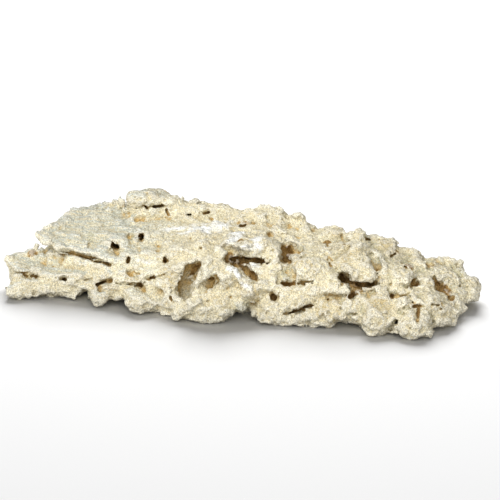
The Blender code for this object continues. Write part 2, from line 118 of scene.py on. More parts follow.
def add_camera():
    """The camera at the photograph's eye, looking at the middle of its frame."""
    data = bpy.data.cameras.new("camera")
    data.lens = data.sensor_width * EYE_PIXELS / FRAME_PIXELS
    data.clip_end = 100
    camera = bpy.data.objects.new("camera", data)
    forward = sight_to(FRAME_PIXELS / 2, FRAME_TOP_UP - FRAME_PIXELS / 2)
    side = forward.cross(UP).normalized()
    camera.matrix_world = (
        Matrix.Translation(EYE)
        @ Matrix((side, side.cross(forward), -forward)).transposed().to_4x4()
    )
    bpy.context.scene.collection.objects.link(camera)
    bpy.context.scene.camera = camera


# The whole grid but its last layer, and but its first, along each axis.
NEIGHBOURS = [
    tuple(
        tuple(kept if side == axis else slice(None) for side in range(3))
        for kept in (slice(None, -1), slice(1, None))
    )
    for axis in range(3)
]


class Skin:
    """A distance field on a grid, negative inside the rock."""

    def __init__(self, source):
        lowest, highest = (np.array(corner) for corner in cad_box)
        self.start = lowest - MARGIN
        self.shape = np.ceil((highest - lowest + 2 * MARGIN) / STEP / 2).astype(int) * 2 + 1
        self.rng = np.random.default_rng(SEED)
        mesh = source.data
        points = [source.matrix_world @ vert.co for vert in mesh.vertices]
        self.tree = BVHTree.FromPolygons(points, [face.vertices for face in mesh.polygons])
        self.field = self.refined(self.coarse_distance())

    def coarse_distance(self):
        """The solid's signed distance on every second node of the grid, capped at the band."""
        shape = (self.shape + 1) // 2
        coarse = 2 * STEP
        inside = np.zeros(shape, bool)
        up = Vector((0, 0, 1))
        for i in range(shape[0]):
            for j in range(shape[1]):
                x, y = self.start[0] + i * coarse, self.start[1] + j * coarse
                here = Vector((x, y, self.start[2] - RAY_BELOW))
                crossings = []
                while (hit := self.tree.ray_cast(here, up)[0]) is not None:
                    crossings.append(hit.z)
                    here = Vector((x, y, hit.z + RAY_BEHIND))
                for low, high in zip(crossings[::2], crossings[1::2]):
                    first = math.ceil((low - self.start[2]) / coarse)
                    last = math.floor((high - self.start[2]) / coarse)
                    inside[i, j, first : last + 1] = True
        near = np.zeros(shape, bool)
        for axis, (low, high) in enumerate(NEIGHBOURS):
            change = np.diff(inside, axis=axis)
            near[low] |= change
            near[high] |= change
        for _ in range(int(BAND / coarse)):
            grown = near.copy()
            for low, high in NEIGHBOURS:
                grown[low] |= near[high]
                grown[high] |= near[low]
            near = grown
        distance = np.full(shape, BAND)
        for i, j, k in np.argwhere(near):
            place = self.start + np.array((i, j, k)) * coarse
            reach = self.tree.find_nearest(place, BAND)[3]
            if reach is not None:
                distance[i, j, k] = reach
        distance[inside] *= -1
        return distance

    def refined(self, coarse):
        """The field on the whole grid, smoothed until the solid's facets are gone."""
        field = blurred(coarse.astype(np.float32), FACET_BLURS)
        for axis in range(3):
            field = np.moveaxis(field, axis, 0)
            fine = np.empty((2 * len(field) - 1,) + field.shape[1:], np.float32)
            fine[::2] = field
            fine[1::2] = (field[1:] + field[:-1]) / 2
            field = np.moveaxis(fine, 0, axis)
        return blurred(field, 1)


def blurred(field, times):
    """The field after that many passes of a small blur along each axis."""
    for _ in range(times):
        for axis in range(3):
            field = np.moveaxis(field, axis, 0)
            mixed = field.copy()
            mixed[1:-1] = (field[:-2] + 2 * field[1:-1] + field[2:]) / 4
            field = np.moveaxis(mixed, 0, axis)
    return field


def spline_rows(count, wave, offset):
    """How much each knot of a cubic spline, one every wave nodes, counts at each of the nodes."""
    knots = int(count / wave) + 5
    rows = np.zeros((count, knots), np.float32)
    place = np.arange(count) / wave + offset
    first = np.floor(place).astype(int)
    t = place - first
    weights = ((1 - t) ** 3, 3 * t**3 - 6 * t**2 + 4, -3 * t**3 + 3 * t**2 + 3 * t + 1, t**3)
    for step, weight in enumerate(weights):
        rows[np.arange(count), first + step] = weight / 6
    return rows


def noise_field(skin, waves):
    """Smooth random numbers on the grid, about 1 in size, with the waves' lengths in metres."""
    rows = []
    for count, wave in zip(skin.shape, waves):
        rows.append(spline_rows(count, wave / STEP / 2, skin.rng.uniform(0, 1)))
    knots = skin.rng.uniform(-1, 1, [matrix.shape[1] for matrix in rows]).astype(np.float32)
    field = np.tensordot(rows[0], knots, (1, 0))
    field = np.einsum("jb,ibc->ijc", rows[1], field, optimize=True)
    field = np.matmul(field, rows[2].T)
    return field / NOISE_SIZE


def surface_of(field, start):
    """The field's zero surface as points and quads, one point in each cell that it crosses."""
    inside = field < 0
    count = np.zeros(np.array(field.shape) - 1, np.int8)
    corners = [(a, b, c) for a in (0, 1) for b in (0, 1) for c in (0, 1)]
    for a, b, c in corners:
        count += inside[a : a + count.shape[0], b : b + count.shape[1], c : c + count.shape[2]]
    cells = np.argwhere((count > 0) & (count < 8))
    index = np.full(count.shape, -1, np.int32)
    index[tuple(cells.T)] = np.arange(len(cells))
    total = np.zeros((len(cells), 3))
    crossed = np.zeros(len(cells))
    for near in corners:
        for axis in range(3):
            if near[axis]:
                continue
            far = np.array(near)
            far[axis] = 1
            low = field[tuple((cells + near).T)]
            high = field[tuple((cells + far).T)]
            cut = (low < 0) != (high < 0)
            share = np.where(cut, low / np.where(cut, low - high, 1), 0)
            place = np.array(near) + share[:, None] * (far - near)
            total += place * cut[:, None]
            crossed += cut
    points = start + (cells + total / crossed[:, None]) * STEP
    quads = []
    for axis in range(3):
        b, c = (axis + 1) % 3, (axis + 2) % 3
        change = np.diff(inside.astype(np.int8), axis=axis)
        edges = np.argwhere(change)
        edges = edges[(edges[:, b] > 0) & (edges[:, c] > 0)]
        way = change[tuple(edges.T)]
        around = []
        for step_b, step_c in ((0, 0), (1, 0), (1, 1), (0, 1)):
            cell = edges.copy()
            cell[:, b] -= step_b
            cell[:, c] -= step_c
            around.append(index[tuple(cell.T)])
        quad = np.stack(around, 1)
        quad[way > 0] = quad[way > 0][:, ::-1]
        quads.append(quad)
    return points, np.concatenate(quads)


def largest_body(points, quads):
    """The points and quads of the largest connected body alone."""
    edges = np.concatenate([quads[:, [0, 1]], quads[:, [1, 2]], quads[:, [2, 3]]])
    label = np.arange(len(points))
    while True:
        least = np.minimum(label[edges[:, 0]], label[edges[:, 1]])
        after = label.copy()
        np.minimum.at(after, edges[:, 0], least)
        np.minimum.at(after, edges[:, 1], least)
        after = after[after]
        if np.array_equal(after, label):
            break
        label = after
    best = np.bincount(label).argmax()
    keep = label == best
    place = np.cumsum(keep) - 1
    return points[keep], place[quads[keep[quads[:, 0]]]]


def mesh_of(name, points, quads):
    """A mesh object with those points and quads."""
    mesh = bpy.data.meshes.new(name)
    mesh.vertices.add(len(points))
    mesh.vertices.foreach_set("co", points.astype(np.float32).ravel())
    mesh.loops.add(len(quads) * 4)
    mesh.loops.foreach_set("vertex_index", quads.astype(np.int32).ravel())
    mesh.polygons.add(len(quads))
    mesh.polygons.foreach_set("loop_start", np.arange(len(quads), dtype=np.int32) * 4)
    mesh.update(calc_edges=True)
    mesh.validate()
    added = bpy.data.objects.new(name, mesh)
    bpy.context.scene.collection.objects.link(added)
    return added


def read_points(mesh, kind):
    """The mesh's points, for "co", or the directions that they face, for "normal"."""
    values = np.empty(len(mesh.vertices) * 3, np.float32)
    mesh.vertices.foreach_get(kind, values)
    return values.reshape(-1, 3)


def move_points(mesh, points):
    """Moves the mesh's points to those places."""
    mesh.vertices.foreach_set("co", points.astype(np.float32).ravel())
    mesh.update()


def keep_in_box(mesh, box):
    """Pulls every point of the mesh inside the box, which also levels its feet."""
    lowest, highest = (np.array(corner) for corner in box)
    points = np.clip(read_points(mesh, "co"), lowest + BOX_GAP, highest - BOX_GAP)
    points[:, 2] = np.maximum(points[:, 2] - BOX_GAP, 0)
    move_points(mesh, points)


def fewer_triangles(source, name, most):
    """A new object with at most that many triangles. The old one goes."""
    hidden = read_points(source.data, "normal") @ np.array(AWAY) > HIDDEN_FROM
    thinned = source.vertex_groups.new(name="thinned")
    for weight, group in zip(THINNING, (hidden, ~hidden)):
        thinned.add(np.flatnonzero(group).tolist(), weight, "REPLACE")
    fewer = source.modifiers.new("fewer", "DECIMATE")
    fewer.vertex_group = thinned.name
    fewer.vertex_group_factor = 1
    fewer.ratio = most / (2 * len(source.data.polygons))
    fewer.use_collapse_triangulate = True
    graph = bpy.context.evaluated_depsgraph_get()
    mesh = bpy.data.meshes.new_from_object(source.evaluated_get(graph))
    bpy.data.objects.remove(source, do_unlink=True)
    made = bpy.data.objects.new(name, mesh)
    bpy.context.scene.collection.objects.link(made)
    return made


# How the whole skin is roughened: the waves' length along the beds and across them, in metres, how
# far they shift the skin, and how much of that is rounded dimples with sharp rims between them. The
# dimples are the size of the noise less this much.
ROUGHNESS = [
    (0.0110, 0.0080, 0.00080, 0.8),
    (0.0055, 0.0045, 0.00065, 0.8),
    (0.0030, 0.0024, 0.00036, 0.6),
    (0.0017, 0.0016, 0.00020, 0.3),
]
DIMPLE_LEVEL = 0.8
# Near the sides of the box the skin is drawn in: from how far, and by how much at most, in metres.
DRAWN_FROM = 0.004
DRAWN_IN = 0.0011
# The thin beds that show on the left: their waves' lengths in metres, how far they shift the skin,
# and where they end and fade, to the right.
BEDS = (0.016, 0.0032, 0.0026)
BEDS_SHIFT = 0.0003
BEDS_FADE = ([-0.06, 0.0], [1.0, 0.15])
# How rough the skin is, from the left of the rock to its right.
ROUGHER = ([-0.10, 0.04], [0.75, 1.3])

# The relief of the sides that the front view hides, as the roughness above, how far a side faces
# away from the eye where it starts and where it is full, and how far it draws those sides in, as a
# share of its shift.
BACK_RELIEF = [(0.024, 0.016, 0.0022, 0.5), (0.0100, 0.0075, 0.0011, 0.8)]
BACK_FROM = ([0.1, 0.5], [0.0, 1.0])
BACK_IN = 0.3
# Random bores in those sides: how many are tried, from how many nodes each, and how far a bored
# side faces at least away from the eye and up. Their radii and depths in metres, how far they lean,
# the least rock around their inner ends, how much narrower those are, and how far the uneven waves
# below shift their walls.
BORES_TRIED = 70
NODES_PER_BORE = 8
BORED_SIDES = (0.3, -0.6)
BORE_RADII = (0.0014, 0.0036)
BORE_DEPTHS = (0.006, 0.016)
BORE_LEAN = 0.35
BORE_ROOM = 0.004
BORE_NARROWER = 0.6
BORE_UNEVEN = 0.4
# The stain and painted shade at a bore's inner end, and how far they go past the bore's wall, in
# metres.
BORE_STAIN_AND_SHADE = 1.2
BORE_STAIN_AND_SHADE_PAST = 0.002
# The room that is worked on around a bore or a pit, in metres.
CUT_ROOM = 0.001

# Ridges laid on the front, each with how far it stands proud and the line that it follows, as
# places on the frame with its half width there, all in pixels. Below zero, it is a rod that far
# behind the face.
RIDGES = [
    (2, [(131, 141, 5), (140, 139, 7), (152, 138, 8), (164, 137, 7), (176, 136, 5)]),
    (2, [(36, 91, 3), (43, 91, 5), (52, 89, 6), (62, 86, 7), (76, 83, 7), (90, 80, 7),
         (104, 78, 6)]),
    (3, [(50, 95.5, 4), (62, 93.5, 5), (78, 89.5, 5), (92, 85, 4), (101, 83, 3.5)]),
    (1, [(40.5, 112, 4), (48, 107.5, 3)]),
    (1, [(40.5, 114.5, 3.5), (47, 120.5, 3), (55, 124.5, 2.5)]),
    (1, [(24, 93, 3), (30, 97, 3.4), (34, 100, 3.4), (36.5, 102.5, 2.8)]),
    (2, [(33, 95, 4), (41, 98, 3)]),
    (5, [(111, 54, 4.5), (120, 54, 4.5)]),
    (5, [(36, 58, 3.5), (42, 57.5, 4), (48, 57.5, 4), (54, 58.5, 3.5)]),
    (4, [(222, 37, 6), (229, 40, 5), (234, 43, 4.5), (239, 48, 4)]),
    (3, [(243, 48, 4), (251, 43.5, 4), (254, 38, 4)]),
    (-8, [(227, 47, 2), (241, 43, 6), (247, 40, 5)]),
    (5, [(438, 29, 5), (446, 29, 5), (451, 31, 5), (455, 38, 3)]),
    (4, [(438, 38, 6), (447, 40, 6)]),
    (4, [(336, 36, 5), (346, 34, 5), (357, 32, 5)]),
    (2, [(105, 90, 3), (100, 90.8, 3), (92, 91.8, 3), (86, 94.6, 3), (78, 97.6, 3),
         (70, 99.6, 3), (58, 101, 3)]),
    (2, [(445, 86.5, 4), (452, 88, 4), (458, 85, 4)]),
    (3, [(394, 58, 3), (402, 58, 3.5), (409, 58, 3)]),
    (1, [(104, 142, 3), (112, 144, 3.6), (120, 147, 4)]),
    (1, [(110, 139, 5), (119, 141.5, 6)]),
    (1, [(14, 60, 7), (28, 60.5, 7), (42, 62, 6), (56, 63, 6), (68, 64, 5)]),
    (3, [(353.5, 112, 4.5), (359.5, 117.5, 4.5), (366, 112, 4)]),
    (2, [(16, 91.5, 4.8), (10, 91.2, 4.4), (5.5, 91, 3.4)]),
    (1, [(172, 150, 3), (177, 151.5, 2.5), (184, 151.5, 2.2)]),
    (1, [(190, 148.5, 2), (196, 150, 2.2), (204, 147.5, 2)]),
    (1, [(245, 139.5, 2.4), (252, 139, 2.4)]),
    (1, [(261, 141.5, 2.8), (270, 141.8, 2.8)]),
    (2, [(289, 132, 3), (294, 134.5, 3.6), (298, 134.5, 3.4)]),
    (2, [(440, 90.5, 3), (448, 91, 3)]),
    (4, [(218, 99, 4), (222, 96, 4)]),
    (1, [(229, 88.6, 2.2), (240, 88.2, 2.4), (251, 88, 2.2)]),
    (1, [(374, 95, 3), (377, 88, 3)]),
    (4, [(203, 61, 3.2), (208, 65, 4.2), (212, 68, 3.5)]),
    (3, [(293, 101, 3.5), (300, 102, 3.5), (305, 101.5, 2.5)]),
    (2, [(304, 52.5, 2.6), (315, 52.2, 3.4), (328, 52.8, 3.6), (338, 53, 3)]),
    (3, [(252, 85, 3), (257, 84, 3.5)]),
    (4, [(193, 71, 3.5), (197, 67, 4)]),
    (5, [(175, 51, 4), (180, 49, 4)]),
    (4, [(193, 46, 6), (198, 48, 6)]),
    (4, [(210, 86, 4), (205, 80, 4), (200, 73, 3.5)]),
    (3, [(234, 79, 3), (243, 66, 4), (249, 58, 4)]),
    (3, [(345, 71, 3), (355, 70, 4), (364, 69, 3.5), (373, 71, 3)]),
]

# Hollows cut into the front, each with its depth and the line that it follows, as above. The
# deepest ones only trim the rock's outline.
HOLLOWS = [
    (60, [(76, 49, 3.0), (81, 52, 4.0), (84, 54.5, 4.8)]),
    (60, [(84, 54.5, 4.4), (86, 50, 3.4)]),
    (60, [(3.5, 85, 4.5), (6, 79, 4.2), (5.5, 73, 4.0)]),
    (60, [(231, 147, 3.5), (236, 143.3, 4), (242, 143.3, 3.6)]),
    (60, [(347.2, 121, 3.0), (346.6, 118.5, 2.2)]),
    (60, [(428.5, 94, 3.6), (433, 94, 3.2)]),
    (60, [(305, 138, 3.0), (309, 131, 2.6)]),
    (60, [(467, 34, 3.6), (463.5, 29, 4)]),
    (1.5, [(14, 77.5, 0.6), (28, 77.4, 0.6), (38, 76.4, 0.6)]),
    (2, [(24, 74.5, 1.6), (31, 73.8, 1.8)]),
    (5, [(24, 75.5, 0.9), (27, 73, 1.1)]),
    (9, [(36.2, 73.2, 2.2)]),
    (12, [(60, 70.6, 1.7), (65, 70.6, 2.0)]),
    (3, [(75, 69.4, 0.7), (84, 69.6, 0.8), (92, 71.2, 0.8)]),
    (2.5, [(60, 98.8, 0.5), (70, 97, 0.6), (78, 94.8, 0.6), (88, 91.6, 0.6), (94, 88.2, 0.6)]),
    (4, [(94, 88.2, 0.7), (101, 88, 0.8), (105, 87.4, 1.2)]),
    (8, [(105, 87, 1.5), (109.5, 84.8, 2.0)]),
    (4, [(89, 106, 1.5), (92, 102.5, 2.2)]),
    (14, [(98, 65.6, 1.1), (104, 68, 1.5), (110.5, 69, 2.4)]),
    (6, [(100.5, 63, 1.2), (100.2, 58.8, 2.0)]),
    (5, [(116, 67, 0.9), (122, 65.2, 1.0), (131, 66, 1.1), (141, 66.4, 1.0)]),
    (7, [(140, 64.5, 2.0), (143.5, 60.5, 2.2)]),
    (14, [(150.5, 71.8, 1.6), (154.5, 72.6, 1.5)]),
    (4, [(156, 73, 1.0), (164, 75.5, 1.1), (171, 79, 0.8)]),
    (46, [(142.2, 112.2, 3.3)]),
    (44, [(113.5, 104.4, 2.6), (117, 103.4, 2.4)]),
    (2.5, [(116, 100, 2.2), (117.5, 96, 2.2)]),
    (14, [(128.3, 91.4, 1.8), (127.4, 87.4, 2.2)]),
    (2.5, [(130, 113, 3.2), (132, 109, 3.0)]),
    (14, [(164.6, 92, 1.5), (164.8, 88.8, 2.4)]),
    (4, [(167, 89.5, 1.5)]),
    (3.5, [(127, 78.5, 1.9), (131.5, 75.5, 2.4), (137, 72, 1.4)]),
    (3, [(125.8, 144, 1.0), (127, 141.5, 1.5)]),
    (12, [(142.8, 147, 0.8), (145, 143.5, 1.2), (147.2, 141.6, 2.0)]),
    (12, [(149, 143.4, 0.7), (155.5, 143.8, 1.1), (159.5, 144.0, 1.9), (162.5, 144.5, 1.5)]),
    (7, [(166, 139.6, 1.8), (168, 135.5, 1.4)]),
    (5, [(146.5, 155.8, 1.6)]),
    (5, [(164.3, 157.5, 1.9)]),
    (3, [(136, 141.8, 1.3), (138.5, 141.5, 1.5)]),
    (1.5, [(138, 132, 2.8), (142, 132.5, 3.2)]),
    (11, [(187.5, 136, 1.7), (191, 135.6, 1.8)]),
    (11, [(204, 136.6, 1.6), (209, 138.2, 1.5)]),
    (4, [(211.5, 130.8, 1.6)]),
    (4, [(190.5, 111.8, 1.1)]),
    (9, [(200.8, 102, 1.6)]),
    (6, [(230.6, 52.8, 1.4)]),
    (6, [(157.6, 44.7, 1.2)]),
    (10, [(240, 124.2, 1.9), (243, 123.6, 2.1), (245.5, 124.3, 1.7)]),
    (5, [(269.7, 116.2, 2.9)]),
    (3, [(283, 115.2, 2.2)]),
    (4, [(268, 132.6, 2.2)]),
    (4, [(282.5, 130.4, 1.2)]),
    (7, [(241, 107, 1.1)]),
    (18, [(271.6, 53.8, 3.1), (274.6, 52, 3.4)]),
    (6, [(276.6, 50.6, 1.5)]),
    (16, [(349, 52.4, 2.4), (353, 54.0, 2.9)]),
    (8, [(353, 54.2, 2.7), (357.5, 55.8, 1.3)]),
    (7, [(283.5, 36, 1.1), (292, 37.4, 1.0), (300, 40.6, 1.0), (304, 43, 1.3)]),
    (10, [(304, 43.2, 1.4), (309, 44.2, 1.7), (313.5, 44.6, 1.3)]),
    (5, [(328, 51, 1.2)]),
    (5, [(347.8, 103, 2.6)]),
    (6, [(327.5, 105, 2.2)]),
    (9, [(327.5, 90.5, 1.0), (331, 84.5, 1.6)]),
    (2.5, [(370, 100, 4.0), (374, 92, 5.0), (378, 84, 4.2)]),
    (14, [(377.4, 76.4, 1.6)]),
    (8, [(366, 111, 1.6), (369.5, 110.8, 1.3)]),
    (5, [(398.5, 104.8, 1.4)]),
    (8, [(391, 93.5, 1.3), (395.5, 96, 1.2)]),
    (6, [(404.5, 83.5, 1.2), (409, 80.6, 1.5)]),
    (8, [(426, 87, 1.4), (431.5, 81.6, 1.9)]),
    (2.5, [(428, 87, 2.0), (436, 86, 2.6)]),
    (6, [(412.6, 66.5, 1.9), (417.5, 66.8, 2.2)]),
    (6, [(434.5, 71, 2.2), (438, 65, 3.4), (444, 58.5, 3.4), (451, 52.5, 3.2)]),
    (12, [(441, 59.5, 1.8), (446, 56.5, 2.0)]),
    (10, [(449, 52.2, 2.0), (452.5, 50.5, 2.1)]),
    (6, [(392, 54.5, 1.8), (392.5, 51.8, 1.5)]),
    (7, [(412.3, 47.6, 1.2)]),
    (4, [(400.5, 44.3, 1.1)]),
    (6, [(413, 43.5, 1.5), (418, 44.1, 1.2), (424.5, 43, 1.0)]),
    (6, [(418.6, 41, 1.6), (418.2, 34, 1.4), (417.4, 28, 1.4)]),
    (5, [(432, 45.6, 0.8), (439, 44.8, 0.8)]),
    (5, [(440.7, 41, 1.1)]),
    (10, [(396.5, 28.5, 1.2), (394, 25.5, 1.6)]),
    (4, [(394, 25.5, 0.8), (390.5, 21, 0.8)]),
    (6, [(410, 22.3, 1.4)]),
    (2, [(456, 80.5, 2.6), (462, 76, 3.0)]),
    (7, [(343, 110, 1.0), (342, 115, 1.2)]),
    (6, [(196, 82.5, 6.4), (191, 76, 9.6), (186, 66, 9.0), (184, 57.5, 6.2), (184.8, 53.5, 3.0)]),
    (9, [(198.5, 83.5, 2.8), (195, 79, 3.6), (190, 71, 3.0)]),
    (1.6, [(203, 61.5, 3.6), (208, 65.5, 5.0), (212, 68.5, 4.6)]),
    (5, [(208, 70.5, 1.2), (213, 71.5, 2.0), (216, 74.5, 1.6)]),
    (6, [(170.5, 53, 1.6), (172.5, 48.5, 1.6)]),
    (2, [(226, 102.5, 2.6), (232, 98.5, 4.2), (243, 95.5, 3.6), (253, 94.5, 2.4)]),
    (6, [(226, 94.4, 1.1), (237, 92.2, 1.0), (249, 91.8, 0.9), (258, 91.5, 1.2)]),
    (12, [(258, 91, 1.8), (263.5, 88.8, 2.8), (267, 86.6, 2.0)]),
    (11, [(228, 89.5, 2.8), (237, 86, 4.2), (246, 81.5, 4.8), (251.5, 76, 4.4), (255, 71.5, 2.6)]),
    (2.5, [(254, 66, 1.3), (254, 61, 1.4), (258.5, 53, 1.4), (259.5, 41, 1.3)]),
    (20, [(283.5, 104, 3.4), (285.5, 97, 4.8), (286, 91, 4.8), (290, 89, 2.6)]),
    (2, [(291, 101.5, 5.0), (299, 102, 4.6), (306, 101.2, 3.0)]),
    (5, [(287, 82, 5.4), (291, 74, 6.4)]),
    (8, [(281, 67, 1.2), (288, 65.0, 1.4), (295, 65.8, 1.1)]),
    (3, [(301, 68.6, 0.7), (307, 68.2, 0.8), (313.5, 69, 0.7)]),
    (18, [(341.6, 75, 1.6), (342.5, 70, 2.5)]),
    (12, [(341.6, 68, 1.8), (341.8, 66, 1.5)]),
    (14, [(345.5, 71.3, 2.2), (350, 68.5, 1.7)]),
    (13, [(346, 67.5, 1.8), (354, 66.5, 2.0), (363, 65.5, 2.6), (372, 66, 3.2),
          (378.4, 68.5, 2.4)]),
    (6, [(362, 60, 3.4), (372, 58.5, 4.0)]),
]

# Small knobs and fins laid on the face last, as the ridges are.
KNOBS = [
    (3, [(193, 70, 3.2)]),
    (3, [(191.5, 63.5, 2.4)]),
    (1.5, [(188, 72, 1.5), (193, 74, 1.2)]),
    (1.5, [(297.5, 67, 2.0)]),
]

# From what depth on, in pixels, a hollow only trims the rock's outline, and has no stain or painted
# shade.
THROUGH = 50
# From what depth on a hollow gets its stain and painted shade in full. Its wall's stain and painted
# shade is 1 so far behind the face: per pixel of half width, and more. Then its most, and how far
# it goes past the wall. All in pixels.
FULL_STAIN_AND_SHADE = 6
STAIN_AND_SHADE_DEPTH = (1.5, 4)
STAIN_AND_SHADE_MOST = 1.5
STAIN_AND_SHADE_PAST = 3

# How far from the eye the faces are looked for, in metres.
FACE_REACH = (1.10, 1.65)
# Where the face is looked for, in turn, when a place lies beside the rock's outline, in pixels.
LOOK_AROUND = [(0, 0), (0, -3), (0, -7), (4, 0), (-4, 0), (9, 0), (-9, 0)]
# How far in front of the face a hollow is open, the room that is worked on aside of a line, and how
# far a ridge's middle lies behind the face as a share of its half width.
OPEN_BEFORE = 12.0
ROOM_ASIDE = 4
RIDGE_SUNK = 0.5
# How round the joins are, in pixels: a hollow's and a knob's at least, and per pixel of half width,
# then a ridge's and a pit's.
JOIN = (0.5, 0.12)
RIDGE_JOIN = 2.0
PIT_JOIN = 0.4
# The waves that make every ridge and hollow uneven: their length in metres and how far they shift
# its edge in pixels, and the half width in pixels from which the shift is full.
UNEVEN = [(0.0070, 1.1), (0.0034, 0.6), (0.0018, 0.2)]
UNEVEN_FULL = 4.0

# How far the mesh's points are moved to make its grain, in metres.
GRAIN = 0.00010

# Random pits: how many, their radii in metres and how deep they lie as a share of that.
PITS = 3600
PIT_RADII = (0.0005, 0.0014)
PIT_SUNK = (-0.3, 0.7)
# How likely each is to be kept, from the left of the rock to its right, in metres.
PIT_CHANCE = ([-0.12, 0.05], [0.25, 1.0])


def dimpled_noise(skin, along, through, dimples):
    """Noise with those waves, a share of it turned into rounded dimples."""
    waves = noise_field(skin, (along, along, through))
    return dimples * (np.abs(waves) - DIMPLE_LEVEL) + (1 - dimples) * waves


def roughen(skin):
    """Adds noise to the skin, and more of it to its hidden sides, and draws it in at its box."""
    from_left = skin.start[0] + np.arange(skin.shape[0]) * STEP
    rougher, beds = (
        np.interp(from_left, *change).astype(np.float32)[:, None, None]
        for change in (ROUGHER, BEDS_FADE)
    )
    for along, through, shift, dimples in ROUGHNESS:
        skin.field += shift * rougher * dimpled_noise(skin, along, through, dimples)
    skin.field += BEDS_SHIFT * beds * noise_field(skin, BEDS)
    slopes = np.gradient(skin.field, STEP)
    hidden = sum(slope * np.float32(away) for slope, away in zip(slopes, AWAY))
    hidden = np.interp(blurred(hidden, 2), *BACK_FROM).astype(np.float32)
    for along, through, shift, dimples in BACK_RELIEF:
        skin.field += shift * hidden * (dimpled_noise(skin, along, through, dimples) + BACK_IN)
    for axis in range(3):
        nodes = skin.start[axis] + np.arange(skin.shape[axis]) * STEP
        lowest, highest = cad_box[0][axis], cad_box[1][axis]
        room = highest - nodes if axis == 2 else np.minimum(nodes - lowest, highest - nodes)
        drawn = DRAWN_IN * (np.maximum(DRAWN_FROM - room, 0) / DRAWN_FROM) ** 2
        shape = [-1 if side == axis else 1 for side in range(3)]
        skin.field += drawn.astype(np.float32).reshape(shape)


def smooth_most(one, other, join):
    """The larger of two fields, with the corner between them rounded."""
    near = np.maximum(join - np.abs(one - other), 0) / join
    return np.maximum(one, other) + near * near * join / 4


def block_around(skin, places, reach):
    """The part of the grid that holds the places, and its nodes' world positions."""
    low = (np.min(places, axis=0) - reach - skin.start) / STEP
    high = (np.max(places, axis=0) + reach - skin.start) / STEP
    low = np.clip(np.floor(low).astype(int), 0, skin.shape - 1)
    high = np.clip(np.ceil(high).astype(int) + 1, 1, skin.shape)
    part = tuple(slice(a, b) for a, b in zip(low, high))
    sides = [skin.start[axis] + np.arange(low[axis], high[axis]) * STEP for axis in range(3)]
    return part, np.stack(np.meshgrid(*sides, indexing="ij"), -1)


def as_seen(places):
    """World positions as (across, up, distance along the view), all in pixels."""
    from_eye = places - np.array(EYE)
    away = from_eye @ np.array(AWAY) / PIXEL
    across = FOOT_ACROSS + from_eye @ np.array(RIGHT) / PIXEL * EYE_PIXELS / away
    up = FOOT_UP + from_eye @ np.array(UP) / PIXEL * EYE_PIXELS / away
    return across, up, away


def sampled(field, places):
    """The field's values at those places, given in its own nodes."""
    places = np.clip(places, 0, np.array(field.shape) - 1.001)
    first = places.astype(int)
    share = places - first
    total = np.zeros(len(places))
    for corner in ((a, b, c) for a in (0, 1) for b in (0, 1) for c in (0, 1)):
        weight = np.prod(np.where(corner, share, 1 - share), axis=1)
        total += weight * field[tuple((first + corner).T)]
    return total


def face_at(skin, field, across, up):
    """The first place in the field's rock that shows at that place on the frame, or nothing."""
    near, far = FACE_REACH
    along = np.arange(near, far, STEP / 2)
    places = np.array(EYE) + along[:, None] * np.array(sight_to(across, up))
    values = sampled(field, (places - skin.start) / STEP)
    first = int(np.argmax(values < 0))
    return places[first] if values[first] < 0 else None


def face_near(skin, field, across, up):
    """The face at that place, or one that shows near it."""
    faces = (face_at(skin, field, across + aside, up + over) for aside, over in LOOK_AROUND)
    return next((face for face in faces if face is not None), None)


def legs_near(skin, field, line, depth):
    """The part of the grid near a line on the face, and the line's legs as seen from its nodes.

    Each leg is how far a node lies aside from it, its half width there, and how far the node lies
    behind the face, in pixels. Where the line leaves the rock, it keeps its distance from the eye.
    """
    eye, ahead = np.array(EYE), np.array(AWAY)
    found = [face_near(skin, field, across, up) for across, up, _ in line]
    reach = next(np.linalg.norm(face - eye) for face in found if face is not None)
    faces = []
    for face, (across, up, _) in zip(found, line):
        reach = reach if face is None else np.linalg.norm(face - eye)
        faces.append(eye + reach * np.array(sight_to(across, up)))
    span = [face + ahead * away * PIXEL for face in faces for away in (-OPEN_BEFORE, depth)]
    part, places = block_around(skin, span, (widest_half(line) + ROOM_ASIDE) * PIXEL)
    across, up, away = as_seen(places)
    aways = [(face - eye) @ ahead / PIXEL for face in faces]
    legs = []
    for number, (first, last) in enumerate(list(zip(line, line[1:])) or [(line[0], line[0])]):
        along = np.array(last[:2]) - np.array(first[:2])
        length = max(along @ along, 1e-9)
        share = ((across - first[0]) * along[0] + (up - first[1]) * along[1]) / length
        share = np.clip(share, 0, 1)
        aside = np.hypot(across - first[0] - share * along[0], up - first[1] - share * along[1])
        half = first[2] + share * (last[2] - first[2])
        face = aways[number] + share * (aways[min(number + 1, len(line) - 1)] - aways[number])
        legs.append((aside, half, away - face))
    return part, legs


def widest_half(line):
    """The largest half width of a line, in pixels."""
    return max(half for _, _, half in line)


def body_along(skin, part, legs, line, depth, shape):
    """How far each node lies from the body that follows a line, in metres."""
    nearest = np.minimum.reduce([shape(*leg, depth) for leg in legs])
    return (nearest + skin.uneven[part] * min(widest_half(line) / UNEVEN_FULL, 1)) * PIXEL


def tunnel(aside, half, behind, depth):
    """A hollow that narrows to a round end at its depth, open towards the eye."""
    inward = np.maximum(behind, 0) / depth
    body = (np.sqrt((aside / half) ** 2 + inward**2) - 1) * half
    return np.maximum(body, -(behind + OPEN_BEFORE))


def bead(aside, half, behind, proud):
    """A ridge that stands proud of the face, or below zero a rod that far behind it."""
    deep = half * RIDGE_SUNK if proud > 0 else -proud
    thick = proud + deep if proud > 0 else half
    return (np.sqrt((aside / half) ** 2 + ((behind - deep) / thick) ** 2) - 1) * half


def stained(aside, half, behind):
    """How strongly a hollow's wall is stained and darkened with painted shade: more the deeper and
    narrower it is.
    """
    full = STAIN_AND_SHADE_DEPTH[0] * half + STAIN_AND_SHADE_DEPTH[1]
    return np.clip(behind / full, 0, STAIN_AND_SHADE_MOST) * (aside < half + STAIN_AND_SHADE_PAST)


def round_join(line):
    """How round the join is along a line, in pixels."""
    return max(JOIN[0], JOIN[1] * widest_half(line))


